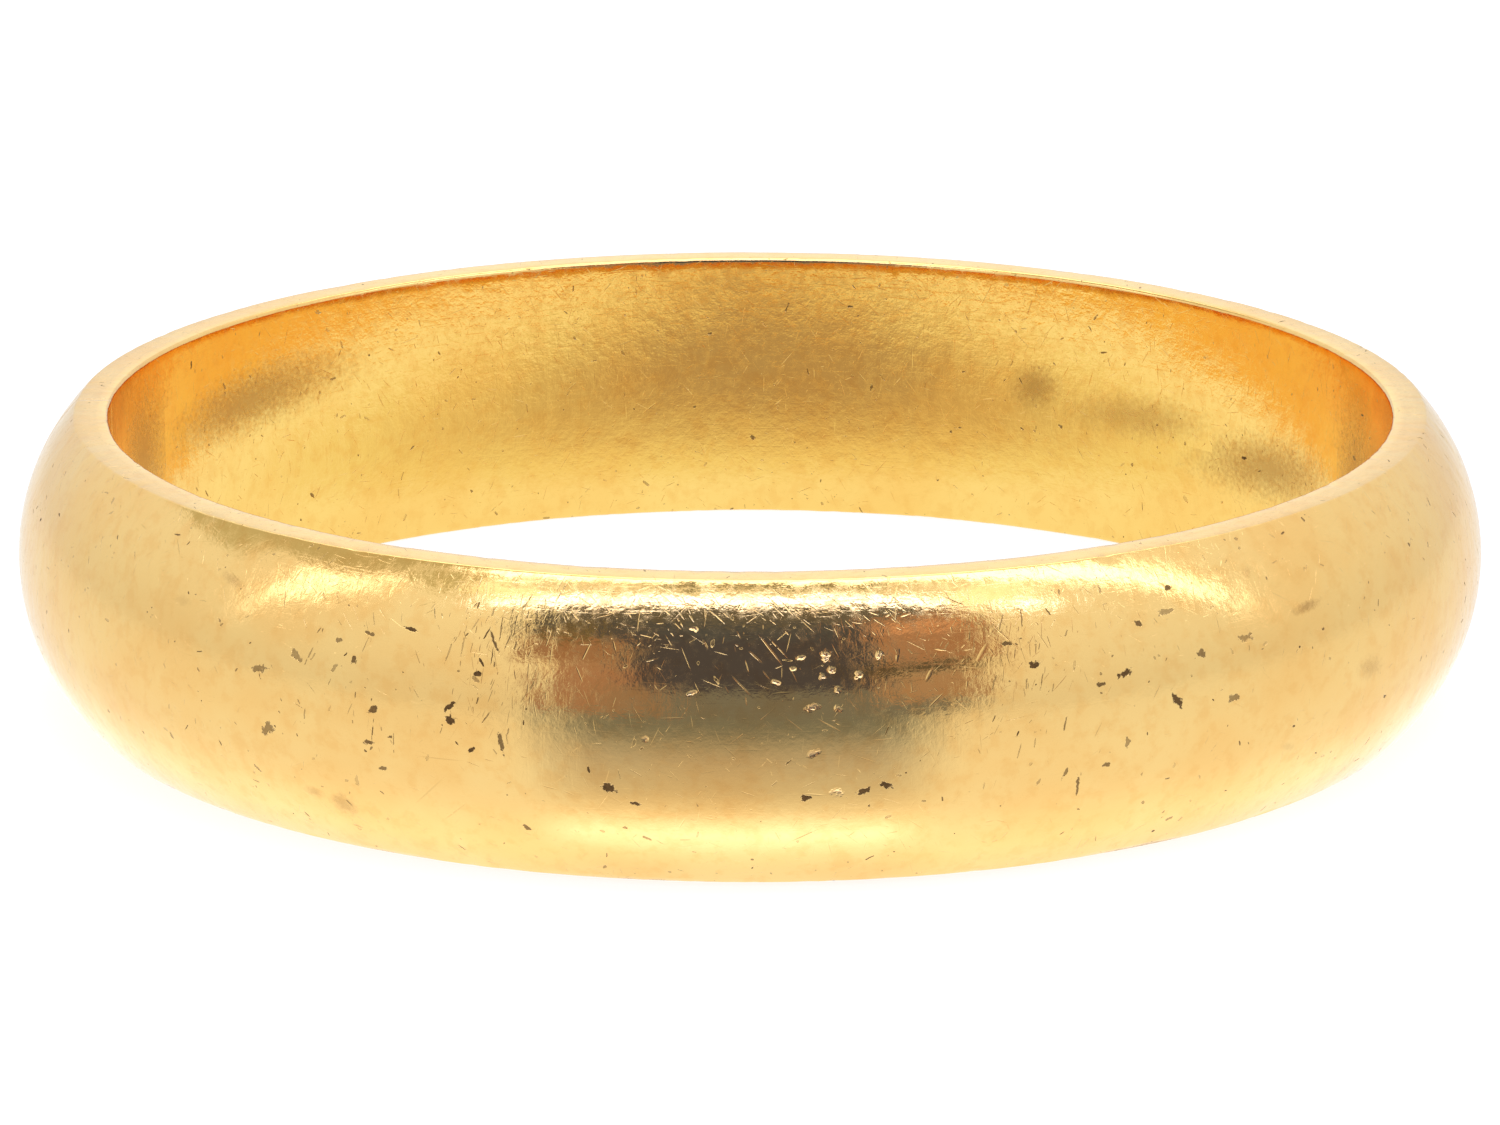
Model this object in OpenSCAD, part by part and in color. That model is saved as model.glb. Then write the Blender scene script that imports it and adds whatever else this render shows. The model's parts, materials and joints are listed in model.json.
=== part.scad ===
// Wedding band of half-round (D-section) gold wire: one length of wire bent to a ring
// and closed by a hard-soldered butt joint. Millimetres.
// Origin: centre of the finger hole, half way across the band's width.
// +Z runs along the finger hole, -Y is the front, and the soldered joint lies at -X.

/* [Size] */
// Ring size: inside circumference in mm, as ISO 8653 counts it
ring_size = 56; // [44:1:72]
// Width of the band along the finger
band_w = 4; // [3:0.5:8]

/* [Section of the wire] */
// Thickness at the crown, half way across the width
crown_t = 1.3; // [0.9:0.05:1.8]
// Thickness at the two rims, out to the corner that the bevel takes off
rim_t = 0.48; // [0.28:0.02:0.6]
// Width of the bevel between a rim and the dome, measured on the rim
rim_bevel = 0.05; // [0.02:0.01:0.1]
// Radius of the rounded edge between a rim and the finger hole
bore_round = 0.06; // [0.04:0.01:0.14]

/* [Soldered joint] */
// Width of the solder between the two wire ends
solder_w = 0.14; // [0.06:0.02:0.4]
// Where the joint lies, in degrees from +X
joint_at = 180; // [0:5:355]

/* [Hidden] */
round_steps = 5;
turn_fn = 240;

bore_r = ring_size / (2 * PI);
crown_r = bore_r + crown_t;
rim_r = bore_r + rim_t;
half_w = band_w / 2;

// The dome is one arc through the crown and both rim corners.
dome_rise = crown_t - rim_t;
dome_r = (half_w * half_w + dome_rise * dome_rise) / (2 * dome_rise);

// The bevel falls half as steeply as the dome does at the rim corner.
dome_fall = 90 - asin(half_w / dome_r);
bevel_fall = dome_fall / 2;

// The turn that the solder takes up, from its width at the finger hole.
solder_turn = 2 * asin(solder_w / (2 * bore_r));

// Outline above the mid plane, from the finger hole outward: the rounded edge, the flat
// rim, and the bevel's line, which runs on past the dome that will trim it.
bevel_start = [rim_r - rim_bevel, half_w];
upper_outline = concat(
    [for (i = [0:round_steps]) let (a = 180 - 90 * i / round_steps)
        [bore_r + bore_round, half_w - bore_round] + bore_round * [cos(a), sin(a)]],
    [bevel_start, bevel_start + 2 * crown_t * [cos(bevel_fall), -sin(bevel_fall)]]
);

// The same outline below the mid plane, from the outside back to the finger hole.
lower_outline = [for (i = [len(upper_outline) - 1:-1:0]) [upper_outline[i].x, -upper_outline[i].y]];

// Cross-section of the wire: x is the distance from the ring's axis, y the height.
module wire_section() {
    intersection() {
        translate([crown_r - dome_r, 0]) circle(r = dome_r, $fn = turn_fn);
        polygon(concat(upper_outline, lower_outline));
    }
}

// The section swept about the ring's axis, from one angle through a turn.
module swept_section(from_angle, turn) {
    rotate([0, 0, from_angle]) rotate_extrude(angle = turn, $fn = turn_fn) wire_section();
}

// The bent wire: a full turn less what the solder takes up.
module band() {
    color("goldenrod") swept_section(joint_at + solder_turn / 2, 360 - solder_turn);
}

// The solder: a thin slice of the same section between the two wire ends.
module solder_seam() {
    color("palegoldenrod") swept_section(joint_at - solder_turn / 2, solder_turn);
}

band();
solder_seam();
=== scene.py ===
import json
import math

import bpy
import numpy as np
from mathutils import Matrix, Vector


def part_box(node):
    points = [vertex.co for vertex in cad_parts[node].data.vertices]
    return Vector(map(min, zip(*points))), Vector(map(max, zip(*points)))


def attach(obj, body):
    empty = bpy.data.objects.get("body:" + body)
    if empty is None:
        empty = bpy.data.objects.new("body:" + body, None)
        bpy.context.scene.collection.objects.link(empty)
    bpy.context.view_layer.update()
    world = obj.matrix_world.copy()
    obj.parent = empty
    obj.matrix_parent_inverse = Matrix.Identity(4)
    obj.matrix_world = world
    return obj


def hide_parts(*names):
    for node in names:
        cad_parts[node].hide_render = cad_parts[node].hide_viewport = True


# A worn gold wedding band: half-round wire bent to a ring and closed by a soldered joint.
# The ring's own words here: the turn is the angle about +Z from the joint at -X, and a mark's
# azimuth is the angle from the front (-Y), positive towards +X. Surface maps are in millimetres.

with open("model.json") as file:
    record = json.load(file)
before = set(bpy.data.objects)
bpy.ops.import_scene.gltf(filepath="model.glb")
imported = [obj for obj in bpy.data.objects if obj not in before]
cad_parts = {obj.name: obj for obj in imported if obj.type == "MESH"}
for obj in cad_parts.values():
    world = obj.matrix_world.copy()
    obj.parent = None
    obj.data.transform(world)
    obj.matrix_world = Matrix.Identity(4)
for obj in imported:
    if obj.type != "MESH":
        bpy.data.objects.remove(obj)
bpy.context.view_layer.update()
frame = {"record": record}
band_low, band_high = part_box("band")

MM = 0.001
mounts = {mount["name"]: mount for mount in frame["record"]["mounts"]}
bore_r = mounts["finger_bore"]["dims"]["r_mm"] * MM
crown_r = band_high.y
half_w = band_high.z
floor_z = band_low.z

# The wire's section, as the CAD has it, but with the rim corner rounded instead of bevelled.
RIM_T = 0.48 * MM
BORE_ROUND = 0.06 * MM
RIM_ROUND = 0.06 * MM
rim_r = bore_r + RIM_T
dome_rise = crown_r - rim_r
dome_r = (half_w ** 2 + dome_rise ** 2) / (2 * dome_rise)

# The solder between the two wire ends.
SOLDER_W = 0.14 * MM
solder_turn = 2 * math.asin(SOLDER_W / (2 * bore_r))

# Mesh fineness: steps round the wire and the solder, then along each part of the outline.
TURN_STEPS = 860
SOLDER_STEPS = 6
DOME_STEPS = 56
ROUND_STEPS = 4
RIM_STEPS = 3
BORE_STEPS = 34


# ---------------------------------------------------------------- the wire's section

def arc(centre, radius, start, stop, steps):
    """Points on an arc in the section plane, from start up to but not including stop (degrees)."""
    angles = np.radians(np.linspace(start, stop, steps, endpoint=False))
    return [(centre[0] + radius * math.cos(a), centre[1] + radius * math.sin(a)) for a in angles]


def straight(start, stop, steps):
    """Points on a straight line, without its last one."""
    parts = np.linspace(0, 1, steps, endpoint=False)
    return [tuple(np.add(start, np.multiply(t, np.subtract(stop, start)))) for t in parts]


def wire_outline():
    """The section's outline as (distance from the axis, height), once round, outside on the right."""
    dome_x = crown_r - dome_r
    # The rim rounding touches the dome from inside and the rim's plane from below.
    round_z = half_w - RIM_ROUND
    reach = dome_r - RIM_ROUND
    round_x = dome_x + math.sqrt(reach ** 2 - round_z ** 2)
    meet = math.degrees(math.asin(round_z / reach))
    bore_x = bore_r + BORE_ROUND
    bore_z = half_w - BORE_ROUND
    return (
        arc((dome_x, 0), dome_r, -meet, meet, DOME_STEPS)
        + arc((round_x, round_z), RIM_ROUND, meet, 90, ROUND_STEPS)
        + straight((round_x, half_w), (bore_x, half_w), RIM_STEPS)
        + arc((bore_x, bore_z), BORE_ROUND, 90, 180, ROUND_STEPS)
        + straight((bore_r, bore_z), (bore_r, -bore_z), BORE_STEPS)
        + arc((bore_x, -bore_z), BORE_ROUND, 180, 270, ROUND_STEPS)
        + straight((bore_x, -half_w), (round_x, -half_w), RIM_STEPS)
        + arc((round_x, -round_z), RIM_ROUND, 270, 360 - meet, ROUND_STEPS)
    )


outline = np.array(wire_outline())
around = np.linalg.norm(np.roll(outline, -1, axis=0) - outline, axis=1)
# Distance along the outline, in mm, from the lower end of the dome; the last value closes it.
along_mm = np.concatenate([[0], np.cumsum(around)]) / MM
tangent = np.roll(outline, -1, axis=0) - np.roll(outline, 1, axis=0)
tangent /= np.linalg.norm(tangent, axis=1)[:, None]
outward = np.column_stack([tangent[:, 1], -tangent[:, 0]])
crown_along = along_mm[DOME_STEPS] / 2
# Where the finger hole's wall starts, at the top, and its middle.
bore_start = DOME_STEPS + ROUND_STEPS + RIM_STEPS + ROUND_STEPS
bore_along = along_mm[bore_start] + (half_w - BORE_ROUND) / MM


def turn_mm(azimuth):
    """Distance round the crown from the joint to an azimuth in degrees, in mm."""
    return math.radians((90 + azimuth) % 360) * crown_r / MM


def dome_mm(height):
    """Distance along the outline to a height in mm on the dome, in mm."""
    return crown_along + dome_r / MM * math.asin(height * MM / dome_r)


def bore_mm(height):
    """Distance along the outline to a height in mm on the finger hole's wall, in mm."""
    return bore_along - height


# ---------------------------------------------------------------- marks of wear

# Marks on the outside, listed one by one: (azimuth, height, length, width, slant, weight), in degrees
# and mm. A slant turns a mark from level, anticlockwise. The weight is how deep or how dark.
PITS = [
    (-10, -0.55, 0.2, 0.11, -35, 1), (-8.2, -0.75, 0.14, 0.05, -10, 1),
    (-11.5, -0.3, 0.1, 0.04, -70, 1), (8.1, -0.57, 0.2, 0.09, 25, 1),
    (9.6, -0.5, 0.24, 0.1, -15, 1), (3.9, -0.64, 0.14, 0.08, 0, 1),
    (-16.5, -1.22, 0.11, 0.07, -40, 0.8), (-19.7, 0.95, 0.14, 0.04, -60, 1),
    (-19.9, 0.8, 0.12, 0.06, 10, 1), (-21.8, 0.19, 0.15, 0.13, 0, 1),
    (-21.9, 0.35, 0.19, 0.07, 40, 1), (-20.1, -0.17, 0.12, 0.06, 40, 1),
    (-18.9, 1.2, 0.32, 0.035, -60, 0.9), (-17.9, -0.05, 0.32, 0.06, -80, 0.8),
    (-25.6, 1.23, 0.2, 0.05, -10, 1), (-29, 1.12, 0.15, 0.06, -15, 0.8),
    (-31.4, 0.98, 0.12, 0.06, 20, 0.7), (-29.9, 0.77, 0.15, 0.07, 80, 0.9),
    (-28, 0.18, 0.17, 0.09, 30, 0.9), (-28.4, -0.26, 0.16, 0.07, 10, 0.9),
    (-27.4, -0.6, 0.12, 0.05, 0, 0.8), (-35, 0.7, 0.2, 0.1, -30, 0.6),
    (-38.3, 0.42, 0.24, 0.1, 10, 0.7), (-37.5, -0.35, 0.24, 0.14, 35, 0.7),
    (20.9, 0.9, 0.15, 0.09, 10, 1), (18.9, 1.18, 0.16, 0.08, 0, 0.9), (28, 0.65, 0.26, 0.09, 15, 1),
    (26, 0.56, 0.12, 0.06, 0, 0.9), (29.8, 1.21, 0.15, 0.07, -30, 0.9),
    (32.3, 0.19, 0.26, 0.11, -45, 1), (24.3, -0.74, 0.3, 0.045, -84, 0.8),
    (23.2, -0.55, 0.15, 0.05, 65, 0.7), (28.1, -0.25, 0.14, 0.08, 90, 0.6),
    (34.8, 0.73, 0.15, 0.1, 0, 0.8), (37.5, 0.07, 0.18, 0.11, 0, 0.7),
    (39.1, 0.8, 0.22, 0.1, 0, 0.6), (32.2, 1.29, 0.28, 0.08, 5, 0.6),
    (26.6, -0.52, 0.12, 0.07, 0, 0.8), (33.2, 1.55, 0.12, 0.08, 0, 0.9),
]
SMUDGES = [
    (46, 0.97, 0.62, 0.16, 6, 1), (53, -0.1, 0.7, 0.36, -10, 0.5), (41, 1.54, 0.26, 0.14, 30, 0.5),
    (-42.7, 1.4, 0.56, 0.16, -12, 0.7), (-47.3, 1.0, 0.4, 0.16, 0, 0.3),
    (-31.7, -1.25, 0.5, 0.4, -20, 0.7), (-34.2, -1.15, 0.36, 0.2, 0, 0.5),
    (44, -0.85, 0.4, 0.14, -25, 0.3),
]
# Dark brown patches on the finger hole's wall: those at positive azimuths stand for tarnish and grime,
# those at negative azimuths are a painted reflection.
BORE_GRIME_AND_SHADE = [
    (151, 0.25, 1.1, 0.8, 10, 1), (139, 0.05, 3.4, 0.8, 4, 0.7), (121, -0.2, 4.6, 1.1, 5, 1),
    (103, 0.2, 2.4, 3.2, 0, 1), (-124, 0.75, 5.4, 1.1, 3, 1), (-103, 0.6, 2.8, 2.6, 8, 1),
]
# Rubbed places, full of short scratches: (azimuths, heights, number of scratches, their slant).
# Grime has filled the scratches of some.
CLEAN_RUBS = [
    ((-22, -14.5), (0.3, 1.7), 80, 82),
    ((15.5, 22), (0.4, 1.6), 34, 70),
    ((-13, 12), (1.4, 1.8), 60, -42),
]
GRIMY_RUBS = [
    ((-22.5, -15), (-0.1, 1.6), 26, 80),
    ((16, 24), (-0.3, 1.5), 14, 70),
    ((-34, -26), (-0.4, 1.2), 16, 75),
]
# Length and width of a rubbed scratch, the spread of its slant, and its weight.
RUB_LENGTHS = (0.05, 0.28)
RUB_WIDTHS = (0.01, 0.024)
RUB_SPREAD = 13
RUB_WEIGHTS = (0.3, 1)
CRATERS = [
    (5.5, 1.16, 0.13, 0.11, -20, 1), (5.9, 1.0, 0.09, 0.07, 0, 0.8),
    (5.2, 0.92, 0.08, 0.07, 0, 0.7), (7.8, 0.93, 0.1, 0.09, 30, 0.9),
    (9.3, 1.15, 0.09, 0.07, 60, 0.8), (6.2, 0.76, 0.07, 0.08, 0, 0.6),
    (3.7, 1.15, 0.1, 0.05, 15, 0.7), (1.9, 0.86, 0.12, 0.05, -15, 0.8),
    (4.4, 0.55, 0.17, 0.08, 20, 0.9), (6.3, 0.52, 0.1, 0.07, -30, 0.6),
    (-4.1, 0.73, 0.12, 0.05, 20, 0.8), (4.5, -0.04, 0.16, 0.07, 25, 0.8),
    (-4.1, 1.47, 0.08, 0.05, -20, 0.8), (6.2, -0.57, 0.13, 0.1, 0, 0.9),
    (3.1, 1.02, 0.06, 0.05, 0, 0.8), (-7.4, 0.13, 0.07, 0.06, 0, 0.6),
]
SCRATCHES = [
    (-0.6, 0.82, 0.47, 0.024, -45, 1), (0.1, 0.31, 0.97, 0.014, 39, 0.6),
    (1.5, 1.24, 0.67, 0.028, -52, 1), (2.0, 1.27, 0.5, 0.02, -47, 0.8),
    (0.4, 1.16, 0.36, 0.03, -42, 1), (-7.6, 1.25, 0.24, 0.045, 23, 1),
    (-7.2, 1.1, 0.2, 0.026, 16, 0.8), (-11.9, 1.17, 0.3, 0.026, 68, 0.8),
    (-12.3, 0.9, 0.26, 0.02, -62, 0.8), (10.7, 1.14, 0.24, 0.05, 75, 1),
    (12.9, 0.88, 0.22, 0.06, 58, 1), (17.0, 1.1, 0.3, 0.07, 52, 1),
    (13.9, 1.17, 0.24, 0.024, -10, 0.9), (15.2, 0.97, 0.26, 0.03, 45, 0.9),
    (14.9, 1.43, 0.17, 0.025, 88, 0.9), (13.3, 0.57, 0.3, 0.02, 40, 0.6),
    (-22.7, -0.34, 0.9, 0.03, 1, 1), (-23.8, -0.82, 0.86, 0.04, 44, 1),
    (-22.1, -1.1, 0.64, 0.036, 41, 1), (17.4, -1.2, 0.26, 0.03, -8, 0.9),
    (2.2, 0.73, 0.34, 0.03, 4, 0.8), (4.6, -0.6, 0.34, 0.024, -6, 0.7),
    (-4.9, -1.02, 0.24, 0.02, 62, 0.7), (-26.3, -0.12, 0.2, 0.04, 80, 0.6),
]
# The one curled scratch, as points that a run of short scratches follows.
CURL = [
    (17.2, -1.16), (18.2, -1.13), (19.1, -1.19), (19.5, -1.32), (19.0, -1.45), (18.0, -1.5),
    (17.3, -1.44),
]
CURL_WIDTH = 0.034

# Strewn marks: how many to a square mm, then the least and the most of length, width and weight.
# SMALLNESS is the power that makes most of them small; they slant mostly one of a few ways.
SMALLNESS = 2.2
SLANTS = [-48, 62, 5]
SLANT_SHARES = [0.45, 0.35, 0.2]
SLANT_SPREAD = 24
STREWN_SCRATCHES = (40, (0.03, 0.42), (0.008, 0.019), (0.06, 0.8))
STREWN_PITS = (4.0, (0.02, 0.14), (0.015, 0.055), (0.2, 1.0))
# More scratches on the two shoulders, between this height in mm and the rims.
SHOULDER = 1.15
SHOULDER_SCRATCHES = (20, (0.08, 0.5), (0.012, 0.03), (0.12, 1.0))

length_mm = 2 * math.pi * crown_r / MM
# A place that no mark reaches, in a mark's own frame.
FAR = 50.0
# How far past a mark's outline its frame is kept, in mm: room for a ragged edge or a soft one.
RAGGED_MARGIN = 0.055
SOFT_MARGIN = 0.3


def placed(marks, height_mm=dome_mm):
    """Listed marks, moved from azimuth and height to the unrolled surface."""
    return [(turn_mm(azimuth), height_mm(height), *rest) for azimuth, height, *rest in marks]


def strewn(rng, lane, density, lengths, widths, weights):
    """Marks scattered over a lane round the ring."""
    count = int(density * length_mm * (lane[1] - lane[0]))
    small = rng.uniform(0, 1, (3, count)) ** SMALLNESS
    slants = rng.choice(SLANTS, count, p=SLANT_SHARES) + rng.normal(0, SLANT_SPREAD, count)
    return list(zip(
        rng.uniform(0, length_mm, count),
        rng.uniform(*lane, count),
        lengths[0] + (lengths[1] - lengths[0]) * small[0],
        widths[0] + (widths[1] - widths[0]) * small[1],
        slants,
        weights[0] + (weights[1] - weights[0]) * small[2],
    ))


def rubbed(rng, places):
    """The scratches of rubbed places, on the unrolled surface."""
    marks = []
    for azimuths, heights, count, slant in places:
        for _ in range(count):
            at = turn_mm(rng.uniform(*azimuths)), dome_mm(rng.uniform(*heights))
            size = rng.uniform(*RUB_LENGTHS), rng.uniform(*RUB_WIDTHS)
            marks.append((*at, *size, rng.normal(slant, RUB_SPREAD), rng.uniform(*RUB_WEIGHTS)))
    return marks


def curled():
    """The curled scratch, piece by piece, on the unrolled surface."""
    marks = []
    points = [(turn_mm(azimuth), dome_mm(height)) for azimuth, height in CURL]
    for (u0, v0), (u1, v1) in zip(points, points[1:]):
        run = math.hypot(u1 - u0, v1 - v0)
        slant = math.degrees(math.atan2(v1 - v0, u1 - u0))
        # Each piece runs on past its ends, so that the pieces join.
        marks.append(((u0 + u1) / 2, (v0 + v1) / 2, run * 1.5, CURL_WIDTH, slant, 1))
    return marks


def nearest_marks(turn_of, marks, margin):
    """For every corner of every face, its place in the frame of the mark nearest to that face.

    In that frame the mark is a circle of radius 1, and the third number is the mark's weight.
    """
    corner_u = turn_of[:, None] + 0 * along_mm[None, :]
    corner_v = along_mm[None, :] + 0 * turn_of[:, None]
    middle_u = (turn_of[1:] + turn_of[:-1]) / 2
    middle_v = (along_mm[1:] + along_mm[:-1]) / 2
    gaps = np.full((len(middle_u), len(middle_v)), margin)
    places = np.full((len(middle_u), len(middle_v), 4, 3), FAR)
    for u, v, length, width, slant, weight in marks:
        half = length / 2 + margin
        i0, i1 = np.searchsorted(middle_u, (u - half, u + half))
        j0, j1 = np.searchsorted(middle_v, (v - half, v + half))
        if i0 == i1 or j0 == j1:
            continue
        cos, sin = math.cos(math.radians(slant)), math.sin(math.radians(slant))

        def local(at_u, at_v):
            return (at_u - u) * cos + (at_v - v) * sin, (at_v - v) * cos - (at_u - u) * sin

        x, y = local(middle_u[i0:i1, None], middle_v[None, j0:j1])
        gap = np.hypot(np.maximum(abs(x) - length / 2, 0), np.maximum(abs(y) - width / 2, 0))
        nearer = gap < gaps[i0:i1, j0:j1]
        gaps[i0:i1, j0:j1][nearer] = gap[nearer]
        for corner, (di, dj) in enumerate(((0, 0), (1, 0), (1, 1), (0, 1))):
            window = slice(i0 + di, i1 + di), slice(j0 + dj, j1 + dj)
            x, y = local(corner_u[window], corner_v[window])
            block = places[i0:i1, j0:j1, corner]
            block[nearer] = np.stack([x * 2 / length, y * 2 / width, 0 * x + weight], axis=-1)[nearer]
    return places.reshape(-1, 3)


# ---------------------------------------------------------------- wear that is real shape

# Long low waves, left by the hammer and the mandrel, then shorter ones from polishing: how many,
# the height of each in mm, the range of waves to a full turn, and how strongly they lean.
WAVES = [(14, 0.0012, (2, 27), 1), (26, 0.00025, (2, 180), 4)]
LEAN = 1.2
# Metal is only ever lost: the waves' upper sides are rounded off just under the new surface.
POLISHED_OFF = 0.003
SOFTNESS = 0.002
# Dents from daily knocks: radius in mm, size across the band beside size along it, depth in mm.
DENTS = 420
DENT_RADII = (0.12, 0.45)
DENT_SQUASH = (0.5, 1.0)
DENT_DEPTHS = (0.0008, 0.0036)
# Nicks along the four corners of the rims, in mm. Their reach is across the band.
NICKS = 700
NICK_RADII = (0.08, 0.2)
NICK_DEPTHS = (0.001, 0.006)
NICK_SPREAD = 0.05
NICK_REACH = 0.1


def soft_spot(distance):
    """1 at the middle of a dent, falling smoothly to 0 at distance 1."""
    return np.clip(1 - distance ** 2, 0, 1) ** 2


def wear(turns, alongs):
    """How far the metal is worn in from the new section, in mm, over a grid of the surface."""
    rng = np.random.default_rng(57)
    u = turns[:, None] * crown_r / MM
    v = alongs[None, :]
    depth = np.zeros((len(turns), len(alongs)))
    for waves, height, to_a_turn, leaning in WAVES:
        for _ in range(waves):
            round_waves = rng.integers(*to_a_turn)
            across = rng.uniform(-LEAN, LEAN) * leaning
            phase = rng.uniform(0, 2 * math.pi)
            depth += height * np.sin(2 * math.pi * round_waves * u / length_mm + across * v + phase)
    depth = POLISHED_OFF + SOFTNESS * np.log1p(np.exp(depth / SOFTNESS))
    for _ in range(DENTS):
        at_u = rng.uniform(0, length_mm)
        at_v = rng.uniform(0, along_mm[-1])
        radius = rng.uniform(*DENT_RADII)
        squash = rng.uniform(*DENT_SQUASH)
        sink = rng.uniform(*DENT_DEPTHS)
        depth += sink * soft_spot(np.hypot((u - at_u) / radius, (v - at_v) / (radius * squash)))
    # The outer corner of each rim, then the inner ones.
    inner = ROUND_STEPS + RIM_STEPS + 1
    corners = [along_mm[DOME_STEPS], along_mm[-1], along_mm[DOME_STEPS + inner], along_mm[-1 - inner]]
    for _ in range(NICKS):
        at_u = rng.uniform(0, length_mm)
        at_v = rng.choice(corners) + rng.normal(0, NICK_SPREAD)
        radius = rng.uniform(*NICK_RADII)
        sink = rng.uniform(*NICK_DEPTHS)
        depth += sink * soft_spot(np.hypot((u - at_u) / radius, (v - at_v) / NICK_REACH))
    return depth


def add_surface_map(mesh, turn_of):
    """The surface map: mm round the crown, by mm along the outline, which is cut at the lower rim."""
    corners = [
        (turn_of[column], along_mm[row])
        for i in range(len(turn_of) - 1) for j in range(len(outline))
        for column, row in ((i, j), (i + 1, j), (i + 1, j + 1), (i, j + 1))
    ]
    corners += [(turn_of[0], s) for s in along_mm[:-1]]
    corners += [(turn_of[-1], s) for s in along_mm[:-1][::-1]]
    unrolled = mesh.uv_layers.new(name="unrolled")
    unrolled.data.foreach_set("uv", np.array(corners, dtype=np.float32).ravel())


def add_marks(mesh, turn_of):
    """One layer for each kind of mark: where every corner lies in the nearest mark's frame."""
    rng = np.random.default_rng(4)
    everywhere = (0, along_mm[-1])
    scratches = strewn(rng, everywhere, *STREWN_SCRATCHES)
    scratches += strewn(rng, (dome_mm(SHOULDER), along_mm[DOME_STEPS]), *SHOULDER_SCRATCHES)
    scratches += strewn(rng, (0, dome_mm(-SHOULDER)), *SHOULDER_SCRATCHES)
    scratches = [scratches[i] for i in rng.permutation(len(scratches))] + rubbed(rng, CLEAN_RUBS)
    pits = strewn(rng, everywhere, *STREWN_PITS) + rubbed(rng, GRIMY_RUBS)
    # The scratches are dealt to two layers, so that they can cross.
    half = len(scratches) // 2
    cap_places = np.full((2 * len(outline), 3), FAR)
    for kind, marks, margin in (
        ("pits", pits + placed(PITS), RAGGED_MARGIN),
        ("craters", placed(CRATERS), RAGGED_MARGIN),
        # This layer holds smudged grime and, on the finger hole's wall, a painted reflection.
        ("smudges_and_shade", placed(SMUDGES) + placed(BORE_GRIME_AND_SHADE, bore_mm), SOFT_MARGIN),
        ("scratches", scratches[:half] + placed(SCRATCHES) + curled(), RAGGED_MARGIN),
        ("cross_scratches", scratches[half:], RAGGED_MARGIN),
    ):
        places = np.concatenate([nearest_marks(turn_of, marks, margin), cap_places])
        layer = mesh.attributes.new(kind, "FLOAT_VECTOR", "CORNER")
        layer.data.foreach_set("vector", places.astype(np.float32).ravel())


def sweep(name, turns, extra_wear):
    """A closed solid: the worn section swept through the given turns, with a cap at each end."""
    rows = len(outline)
    depth = (wear(turns, along_mm[:-1]) + extra_wear(turns)[:, None]) * MM
    reach = outline[None, :, 0] - outward[None, :, 0] * depth
    height = outline[None, :, 1] - outward[None, :, 1] * depth
    # The joint is at -X, half a turn from +X.
    angle = turns[:, None] + math.pi
    points = np.stack([reach * np.cos(angle), reach * np.sin(angle), height], axis=-1)
    faces = [
        (i * rows + j, (i + 1) * rows + j, (i + 1) * rows + (j + 1) % rows, i * rows + (j + 1) % rows)
        for i in range(len(turns) - 1) for j in range(rows)
    ]
    last = (len(turns) - 1) * rows
    faces.append(tuple(range(rows)))
    faces.append(tuple(reversed(range(last, last + rows))))
    mesh = bpy.data.meshes.new(name)
    mesh.from_pydata(points.reshape(-1, 3).tolist(), [], faces)
    turn_of = turns * crown_r / MM
    add_surface_map(mesh, turn_of)
    add_marks(mesh, turn_of)

    mesh.polygons.foreach_set("use_smooth", [True] * (len(faces) - 2) + [False, False])
    for edge in mesh.edges:
        a, b = edge.vertices
        edge.use_edge_sharp = max(a, b) < rows or min(a, b) >= last
    mesh.update()
    piece = bpy.data.objects.new(name, mesh)
    bpy.context.scene.collection.objects.link(piece)
    return piece


def band_piece():
    turns = np.linspace(solder_turn / 2, 2 * math.pi - solder_turn / 2, TURN_STEPS)
    return sweep("gold_band", turns, lambda turn: np.zeros_like(turn))


# How far the solder has shrunk below the gold half way between the wire ends, in mm.
SOLDER_SHRINK = 0.006


def solder_piece():
    turns = np.linspace(-solder_turn / 2, solder_turn / 2, SOLDER_STEPS + 1)
    return sweep("solder_joint", turns, lambda turn: SOLDER_SHRINK * (1 - (2 * turn / solder_turn) ** 2))


# ---------------------------------------------------------------- shader building blocks

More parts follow.
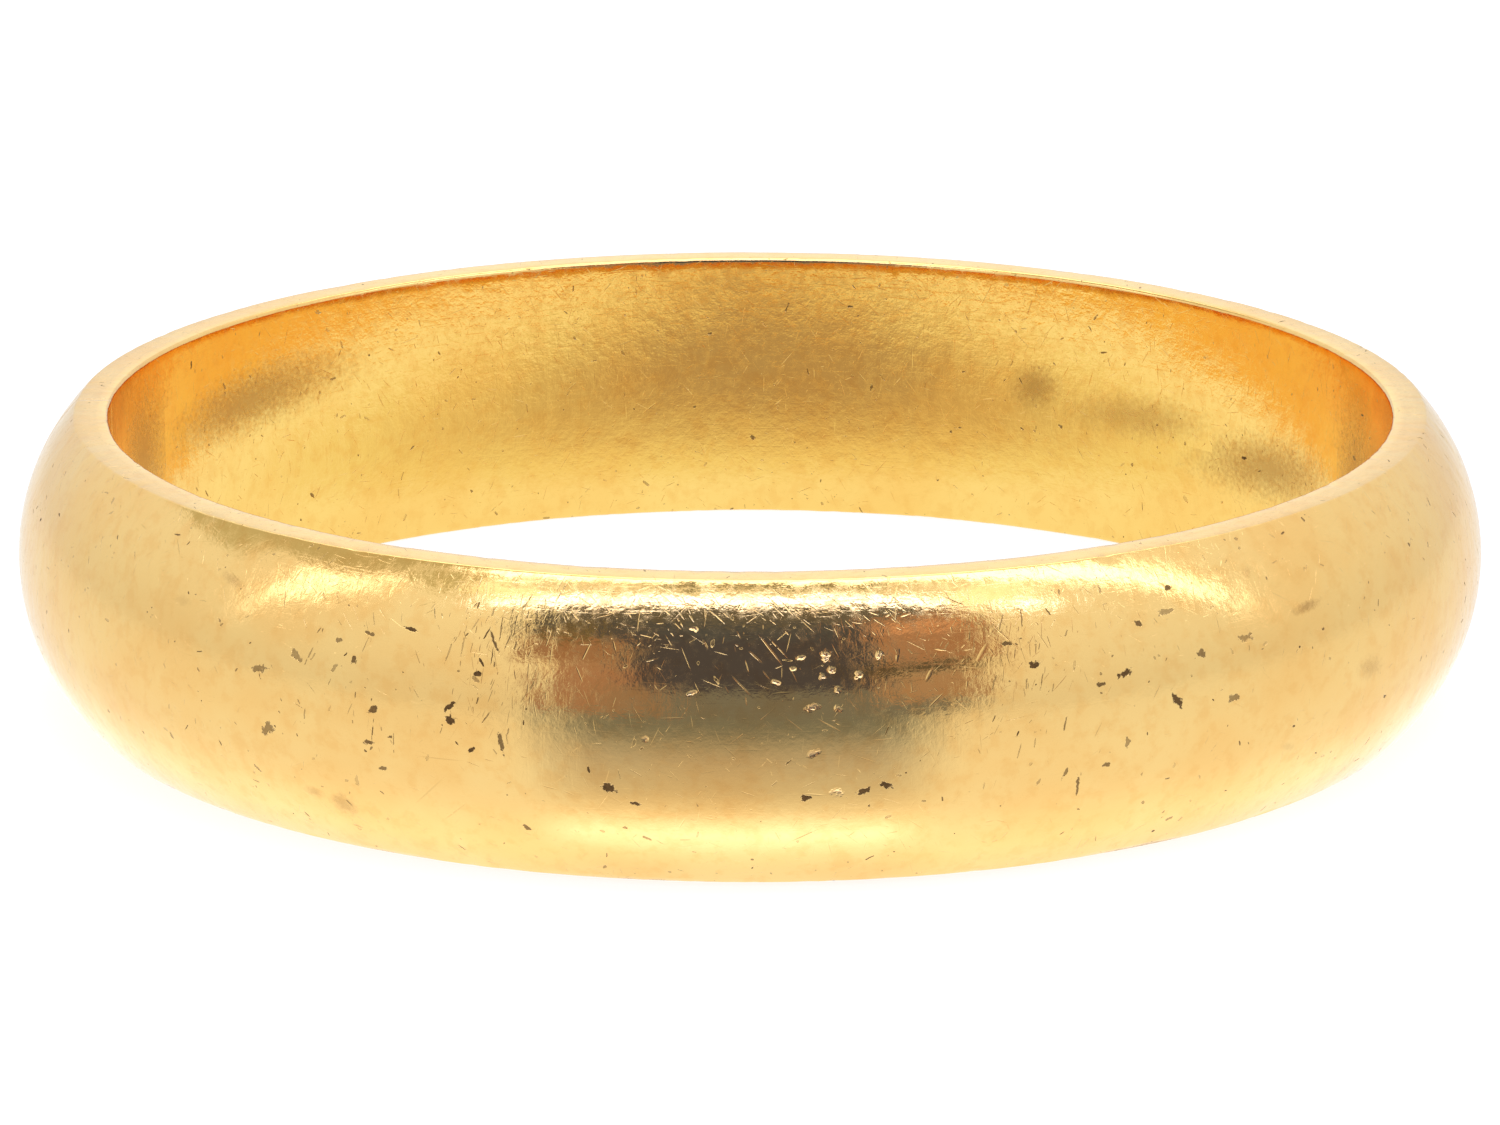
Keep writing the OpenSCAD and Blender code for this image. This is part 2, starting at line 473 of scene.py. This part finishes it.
class Graph:
    """Adds and wires shader nodes. Every input is a constant or another node's output."""

    def __init__(self, tree):
        self.tree = tree
        tree.nodes.clear()

    def add(self, kind, inputs, **settings):
        node = self.tree.nodes.new(kind)
        for key, value in settings.items():
            setattr(node, key, value)
        for key, value in inputs.items():
            if isinstance(value, bpy.types.NodeSocket):
                self.tree.links.new(value, node.inputs[key])
            else:
                node.inputs[key].default_value = value
        return node

    def math(self, operation, a, b=0.0, clamp=False):
        return self.add("ShaderNodeMath", {0: a, 1: b}, operation=operation, use_clamp=clamp).outputs[0]

    def add_scaled(self, value, factor, total):
        """The total with a value times a factor added to it."""
        inputs = {0: value, 1: factor, 2: total}
        return self.add("ShaderNodeMath", inputs, operation="MULTIPLY_ADD").outputs[0]

    def vector(self, operation, a, b=(0, 0, 0)):
        node = self.add("ShaderNodeVectorMath", {0: a, 1: b}, operation=operation)
        return node.outputs["Value" if operation == "LENGTH" else "Vector"]

    def steps(self, value, low, high, start=0.0, end=1.0):
        """Start below low, end above high, smooth between."""
        inputs = {"Value": value, "From Min": low, "From Max": high, "To Min": start, "To Max": end}
        return self.add("ShaderNodeMapRange", inputs, interpolation_type="SMOOTHSTEP").outputs[0]

    def mix(self, factor, a, b):
        """Blends two colours."""
        return self.add("ShaderNodeMix", {0: factor, 6: a, 7: b}, data_type="RGBA").outputs[2]

    def noise(self, place, scale, detail=3.0, seed=0.0):
        shifted = self.vector("ADD", place, (seed, 2 * seed, 3 * seed))
        inputs = {"Vector": shifted, "Scale": scale, "Detail": detail, "Roughness": 0.6}
        return self.add("ShaderNodeTexNoise", inputs).outputs["Fac"]

    def split(self, place):
        return self.add("ShaderNodeSeparateXYZ", {0: place}).outputs

    def any_of(self, masks):
        """The strongest of several masks."""
        total = masks[0]
        for mask in masks[1:]:
            total = self.math("MAXIMUM", total, mask)
        return total

    def mark(self, kind, shake, raggedness):
        """A kind of mark: the distance from the nearest one, 1 at its edge, and its weight."""
        place = self.add("ShaderNodeAttribute", {}, attribute_name=kind).outputs["Vector"]
        flat = self.vector("MULTIPLY", place, (1, 1, 0))
        moved = self.vector("ADD", flat, self.vector("MULTIPLY", shake, (raggedness, raggedness, 0)))
        return self.vector("LENGTH", moved), self.split(place)[2]


# ---------------------------------------------------------------- the gold

# Colours on the gold: warm stains, smudged grime, which on the finger hole's wall is in part a painted
# reflection, the insides of craters and of scratches, and the darkest and palest dirt.
STAIN = (0.86, 0.48, 0.14, 1)
SMUDGE_AND_SHADE = (0.38, 0.21, 0.07, 1)
CRATER = (0.9, 0.64, 0.4, 1)
SCRATCHED = (0.6, 0.36, 0.12, 1)
DARK_DIRT = (0.012, 0.006, 0.004, 1)
PALE_DIRT = (0.2, 0.1, 0.04, 1)


def gold(name, metal, warm, polish):
    """Worn gold: metal is its reflectance and warm a redder patch of it, polish its base roughness."""
    material = bpy.data.materials.new(name)
    material.use_nodes = True
    g = Graph(material.node_tree)
    spot = g.add("ShaderNodeTexCoord", {}).outputs["Object"]
    solid_mm = g.vector("MULTIPLY", spot, (1 / MM,) * 3)
    flat_mm = g.add("ShaderNodeUVMap", {}, uv_map="unrolled").outputs[0]

    # Each kind of mark is looked up at a place shaken by fine noise, so that its edge is ragged.
    shake = g.add("ShaderNodeTexNoise", {"Vector": solid_mm, "Scale": 16.0, "Detail": 2.0}).outputs["Color"]
    shake = g.vector("SUBTRACT", shake, (0.5, 0.5, 0.5))
    near, weight = g.mark("pits", shake, 2.4)
    dirt = g.math("MULTIPLY", g.steps(near, 0.75, 1.05, 1, 0), weight)
    # Smudged grime on the outside; on the finger hole's wall in part a painted reflection.
    near, weight = g.mark("smudges_and_shade", shake, 1.0)
    smudge_and_shade = g.math("MULTIPLY", g.steps(near, 0.1, 1.2, 1, 0), weight)
    near, weight = g.mark("craters", shake, 2.2)
    bowl = g.math("MULTIPLY", g.steps(near, 0.1, 1.5, 1, 0), weight)
    near, weight = g.mark("scratches", shake, 0.3)
    fine = g.math("MULTIPLY", g.steps(near, 0.2, 1.0, 1, 0), weight)
    near, weight = g.mark("cross_scratches", shake, 0.3)
    fine = g.any_of([fine, g.math("MULTIPLY", g.steps(near, 0.2, 1.0, 1, 0), weight)])

    # Hairlines run along the band and brush marks across it. The rest are blotches of four sizes.
    stretched = g.vector("MULTIPLY", flat_mm, (0.5, 9.0, 1.0))
    hair = g.steps(g.noise(stretched, 2.4, 4.0, 5.0), 0.55, 0.75)
    upright = g.vector("MULTIPLY", flat_mm, (11.0, 1.1, 1.0))
    brush = g.steps(g.noise(upright, 1.6, 3.0, 9.0), 0.56, 0.78)
    grain = g.noise(solid_mm, 20.0, 3.0, 1.0)
    dapple = g.noise(solid_mm, 8.0, 3.0, 6.0)
    patches = g.noise(solid_mm, 0.55, 3.0, 4.0)
    clouds = g.noise(solid_mm, 2.6, 4.0, 7.0)

    colour = g.mix(g.steps(patches, 0.35, 0.68), metal, warm)
    stains = g.steps(g.noise(solid_mm, 4.0, 4.0, 3.0), 0.46, 0.68)
    colour = g.mix(g.math("MULTIPLY", stains, 0.35), colour, STAIN)
    # Darker brown for smudged grime, and for the painted reflection on the finger hole's wall.
    colour = g.mix(g.math("MULTIPLY", smudge_and_shade, 0.6), colour, SMUDGE_AND_SHADE)
    colour = g.mix(g.math("MULTIPLY", bowl, 0.5), colour, CRATER)
    colour = g.mix(g.math("MULTIPLY", fine, 0.25), colour, SCRATCHED)
    dirt_colour = g.mix(g.noise(solid_mm, 30.0, 2.0, 2.0), DARK_DIRT, PALE_DIRT)
    colour = g.mix(g.math("MULTIPLY", dirt, 0.92), colour, dirt_colour)

    rough = g.math("ADD", polish, g.steps(patches, 0.4, 0.7, 0.0, 0.04))
    rough = g.math("ADD", rough, g.steps(grain, 0.45, 0.75, 0.0, 0.05))
    rough = g.math("ADD", rough, g.steps(dapple, 0.46, 0.66, 0.0, 0.1))
    rough = g.math("ADD", rough, g.math("MULTIPLY", fine, 0.1))
    rough = g.math("ADD", rough, g.math("MULTIPLY", smudge_and_shade, 0.2))
    rough = g.math("ADD", rough, g.math("MULTIPLY", dirt, 0.45), clamp=True)

    # How far the surface lies below its mesh, in mm, summed so that one bump node serves.
    sunk = g.math("MULTIPLY", grain, -0.0009)
    for height, depth_mm in (
        (dapple, -0.0026),
        (clouds, -0.0042),
        (hair, 0.0004),
        (brush, 0.0005),
        (fine, 0.003),
        (bowl, 0.016),
        (dirt, 0.02),
    ):
        sunk = g.add_scaled(height, depth_mm, sunk)
    normal = g.add("ShaderNodeBump", {"Height": sunk, "Distance": MM}, invert=True).outputs[0]

    shader = g.add("ShaderNodeBsdfPrincipled", {
        "Base Color": colour, "Metallic": 1.0, "Roughness": rough, "Normal": normal,
    })
    g.add("ShaderNodeOutputMaterial", {"Surface": shader.outputs[0]})
    return material


# ---------------------------------------------------------------- the studio

def patch(g, across, up, widths, heights, soft_across, soft_up):
    """1 inside a range of one value and a range of another, with soft edges."""
    edges = [
        g.steps(across, widths[0] - soft_across, widths[0] + soft_across),
        g.steps(across, widths[1] - soft_across, widths[1] + soft_across, 1, 0),
        g.steps(up, heights[0] - soft_up, heights[0] + soft_up),
        g.steps(up, heights[1] - soft_up, heights[1] + soft_up, 1, 0),
    ]
    mask = edges[0]
    for edge in edges[1:]:
        mask = g.math("MULTIPLY", mask, edge)
    return mask


def ramp(g, value, stops):
    """A colour that changes along a value: stops are (value, red, green, blue)."""
    low, high = stops[0][0], stops[-1][0]
    part = g.math("DIVIDE", g.math("SUBTRACT", value, low), high - low)
    node = g.add("ShaderNodeValToRGB", {0: part})
    elements = node.color_ramp.elements
    while len(elements) < len(stops):
        elements.new(0.5)
    for element, (place, *light) in zip(elements, stops):
        element.position = (place - low) / (high - low)
        element.color = (*light, 1)
    return node.outputs[0]


# The tent's own light, by elevation in degrees.
TENT = [
    (-10, 0.84, 0.84, 0.84), (5, 0.86, 0.86, 0.86), (15, 0.91, 0.91, 0.91), (35, 0.97, 0.97, 0.97),
    (50, 1.02, 1.02, 1.02), (66, 0.92, 0.92, 0.92), (80, 1.3, 1.3, 1.3), (90, 2.2, 2.2, 2.2),
]
# Shapes in the tent, each painted over the ones before it: a range of one angle, a range of
# another, how soft the edges of each are, all in degrees, and the shape's light.
# Behind the ring, by azimuth to either side and elevation. In turn: a low one that shows in the
# rims, and a high one that shows in their corners.
BACK = [
    ((175, 400), (8, 30), 3, 6, (1.18, 1.16, 1.06, 1)),
    ((155, 400), (42, 100), 12, 6, (2.8, 2.8, 2.8, 1)),
]
# Straight bars across the front, by azimuth and tilt up from the front. In turn: a bright one
# overhead, a dark one, a bright strip, and the dark shape's upper part.
BARS = [
    ((-85, 85), (75, 100), 4, 1, (3, 3, 3.6, 1)),
    ((-28, 37), (69.2, 73), 3, 0.8, (0.22, 0.22, 0.16, 1)),
    ((-53, 58), (59, 63.8), 3, 0.6, (3.2, 3.5, 5.6, 1)),
    ((-39, 43), (44, 58.2), 1.5, 0.6, (0.14, 0.145, 0.18, 1)),
]
# Other shapes, by azimuth and elevation. In turn: shades at the left, two bright corners, and
# what stands in front, the dark shape and the warm ones beside it.
STUDIO = [
    ((-80, -58), (48, 60), 6, 2, (0.6, 0.58, 0.44, 1)),
    ((-106, -78), (42, 80), 6, 2, (0.58, 0.56, 0.44, 1)),
    ((-132, -102), (32, 80), 6, 2, (0.6, 0.58, 0.46, 1)),
    ((43, 62), (48, 58), 3, 2, (1.5, 1.5, 1.5, 1)),
    ((-64, -45), (51, 58), 3, 2, (1.5, 1.5, 1.5, 1)),
    ((-31, 33), (-4, 16), 4, 4, (0.2, 0.22, 0.28, 1)),
    ((-40, 21), (36, 48), 1.5, 1.5, (0.085, 0.1, 0.17, 1)),
    ((-21, 20.5), (13, 40), 2, 1.5, (0.08, 0.083, 0.145, 1)),
    ((-31, -18.5), (1, 25), 2, 2.5, (0.42, 0.27, 0.25, 1)),
    ((-37, -21.5), (24, 38), 1.5, 1.5, (0.36, 0.23, 0.2, 1)),
    ((-35, -28.5), (34.5, 46), 1.5, 1.5, (0.18, 0.16, 0.12, 1)),
    ((-24, -13), (-2, 15), 3, 3, (0.33, 0.25, 0.24, 1)),
    ((20.5, 41), (24.5, 49), 1.2, 1.2, (0.41, 0.26, 0.23, 1)),
    ((22, 41), (40.5, 44.5), 2, 0.8, (0.72, 0.43, 0.36, 1)),
    ((16, 37), (19.5, 25), 2, 1, (0.11, 0.1, 0.1, 1)),
    ((19, 36), (6, 19.5), 2, 1.5, (0.43, 0.31, 0.28, 1)),
]


def light_studio():
    """A pale tent of light with a bright strip overhead and dark shapes before the front."""
    world = bpy.data.worlds.new("studio")
    bpy.context.scene.world = world
    world.use_nodes = True
    world.cycles.sampling_method = "MANUAL"
    world.cycles.sample_map_resolution = 512
    g = Graph(world.node_tree)
    way = g.split(g.add("ShaderNodeTexCoord", {}).outputs["Generated"])
    forward = g.math("MULTIPLY", way[1], -1.0)
    turn = g.math("DEGREES", g.math("ARCTAN2", way[0], forward))
    rise = g.math("DEGREES", g.math("ARCSINE", way[2]))
    tilt = g.math("DEGREES", g.math("ARCTAN2", way[2], forward))
    colour = ramp(g, rise, TENT)
    aside = g.math("ABSOLUTE", turn)
    for across, up, shapes in ((aside, rise, BACK), (turn, tilt, BARS), (turn, rise, STUDIO)):
        for *place, light in shapes:
            colour = g.mix(patch(g, across, up, *place), colour, light)
    seen = g.add("ShaderNodeLightPath", {}).outputs["Is Camera Ray"]
    colour = g.mix(seen, colour, (1, 1, 1, 1))
    tent = g.add("ShaderNodeBackground", {"Color": colour, "Strength": 1.0})
    g.add("ShaderNodeOutputWorld", {"Surface": tent.outputs[0]})


# The floor disc, in metres.
FLOOR_R = 1.2
FLOOR_SIDES = 96
# The floor's light as the gold sees it, by distance in mm. Round the ring, from its axis:
FLOOR_LIGHT = [
    (9.2, 1.15, 1.15, 1.15), (9.8, 1.3, 1.3, 1.3), (10.2, 1.2, 1.2, 1.2), (10.8, 1.07, 1.07, 1.07),
    (11.5, 1.02, 1.02, 1.02), (16, 0.97, 0.97, 0.97), (60, 0.85, 0.85, 0.85),
]
# In front of the ring the camera shades it: a fan of flattened rings that starts inside the gold
# one, between two directions from its centre in degrees from the front.
FAN_Y_MM = -5.3
FAN_FLATTENING = 0.7
FAN_SPREAD = (-30, 26)
FAN_START = 4.1
FAN_LIGHT = [
    (4.1, 1.0, 1.0, 1.0), (4.5, 1.2, 1.2, 1.2), (4.95, 1.8, 1.8, 2.1), (5.25, 1.4, 1.4, 1.5),
    (5.6, 1.02, 1.0, 0.98), (6.1, 0.82, 0.78, 0.75), (6.6, 0.7, 0.67, 0.66), (8, 0.6, 0.58, 0.6),
    (9.5, 0.52, 0.51, 0.55), (11, 0.46, 0.46, 0.5), (13.2, 0.38, 0.395, 0.44), (17, 0.28, 0.3, 0.35),
    (26, 0.22, 0.25, 0.3), (60, 0.2, 0.23, 0.29),
]
# Inside the ring the light has already met the gold. It is dimmest in an oval before the middle.
BORE_X_MM = -0.4
BORE_Y_MM = -1.2
BORE_NARROWING = 1.4
BORE_LIGHT = [
    (0.0, 0.47, 0.37, 0.24), (2.8, 0.51, 0.4, 0.25), (4.0, 0.64, 0.52, 0.3), (5.0, 0.72, 0.61, 0.35),
    (6.0, 0.86, 0.76, 0.44), (7.0, 0.97, 0.91, 0.54), (8.5, 1.06, 1.06, 0.8),
]


def floor():
    """A white disc, lit from below like a light table. To glossy rays it shows painted light instead:
    a bright ring at the gold's foot, the camera's painted shadow before the front, and a dim gold-tinted
    painted shade inside the ring.
    """
    mesh = bpy.data.meshes.new("floor")
    turns = np.linspace(0, 2 * math.pi, FLOOR_SIDES, False)
    ring = [(FLOOR_R * math.cos(t), FLOOR_R * math.sin(t), floor_z) for t in turns]
    mesh.from_pydata(ring, [], [tuple(range(FLOOR_SIDES))])
    disc = bpy.data.objects.new("floor", mesh)
    bpy.context.scene.collection.objects.link(disc)
    material = bpy.data.materials.new("light_table_and_painted_light")
    material.use_nodes = True
    material.cycles.emission_sampling = "NONE"
    g = Graph(material.node_tree)
    spot = g.add("ShaderNodeTexCoord", {}).outputs["Object"]
    flat = g.vector("MULTIPLY", spot, (1 / MM, 1 / MM, 0))
    from_axis = g.vector("LENGTH", flat)
    from_fan = g.vector("SUBTRACT", flat, (0, FAN_Y_MM, 0))
    from_bore = g.vector("SUBTRACT", flat, (BORE_X_MM, BORE_Y_MM, 0))
    from_bore = g.vector("LENGTH", g.vector("MULTIPLY", from_bore, (BORE_NARROWING, 1, 1)))
    x, y, _ = g.split(from_fan)
    turn = g.math("DEGREES", g.math("ARCTAN2", x, g.math("MULTIPLY", y, -1.0)))
    away = g.vector("LENGTH", g.vector("MULTIPLY", from_fan, (FAN_FLATTENING, 1, 1)))
    light = ramp(g, from_axis, FLOOR_LIGHT)
    fan = patch(g, turn, away, FAN_SPREAD, (FAN_START, 5000), 8, 0.3)
    light = g.mix(fan, light, ramp(g, away, FAN_LIGHT))
    light = g.mix(g.steps(from_axis, 8.8, 9.2, 1, 0), light, ramp(g, from_bore, BORE_LIGHT))
    glossy = g.add("ShaderNodeLightPath", {}).outputs["Is Glossy Ray"]
    paper = g.add("ShaderNodeBsdfDiffuse", {"Color": (0.35, 0.35, 0.35, 1)})
    below = g.add("ShaderNodeEmission", {"Color": (0.8, 0.8, 0.8, 1)})
    table = g.add("ShaderNodeAddShader", {0: paper.outputs[0], 1: below.outputs[0]})
    # What glossy rays see is painted light: a glow round the foot, the camera's painted shadow and painted
    # shade inside the ring.
    seen = g.add("ShaderNodeEmission", {"Color": light})
    both = g.add("ShaderNodeMixShader", {0: glossy, 1: table.outputs[0], 2: seen.outputs[0]})
    g.add("ShaderNodeOutputMaterial", {"Surface": both.outputs[0]})
    mesh.materials.append(material)


# The camera, as fitted to the ring's outlines: its distance in crown radii, its direction from
# the ring's centre and its own downward tilt in degrees, and its lens and sensor in mm.
CAMERA_DISTANCE = 8.9
CAMERA_RISE = 15.2
CAMERA_TILT = 15.42
LENS_MM = 155.3
SENSOR_MM = 36


def camera():
    """A long lens, a little above the ring and square to its front."""
    distance = CAMERA_DISTANCE * crown_r
    rise = math.radians(CAMERA_RISE)
    data = bpy.data.cameras.new("camera")
    data.lens = LENS_MM
    data.sensor_width = SENSOR_MM
    data.clip_start = 1 * MM
    data.clip_end = 10
    holder = bpy.data.objects.new("camera", data)
    holder.location = (0, -distance * math.cos(rise), distance * math.sin(rise))
    holder.rotation_euler = (math.pi / 2 - math.radians(CAMERA_TILT), 0, 0)
    bpy.context.scene.collection.objects.link(holder)
    bpy.context.scene.camera = holder


# ---------------------------------------------------------------- putting it together

# Reflectances of the two metals and of a redder patch of each, then their base roughness.
GOLD = (0.95, 0.655, 0.25, 1)
WARM_GOLD = (0.94, 0.6, 0.21, 1)
SOLDER_GOLD = (0.92, 0.66, 0.33, 1)
WARM_SOLDER = (0.88, 0.62, 0.3, 1)
GOLD_POLISH = 0.07
SOLDER_POLISH = 0.2

band = band_piece()
band.data.materials.append(gold("worn_gold", GOLD, WARM_GOLD, GOLD_POLISH))
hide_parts("band")
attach(band, "root")

solder = solder_piece()
solder.data.materials.append(gold("worn_solder", SOLDER_GOLD, WARM_SOLDER, SOLDER_POLISH))
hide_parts("solder_seam")
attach(solder, "root")

light_studio()
floor()
camera()

scene = bpy.context.scene
scene.view_settings.view_transform = "Standard"
scene.view_settings.look = "None"
scene.cycles.max_bounces = 16
scene.cycles.glossy_bounces = 12
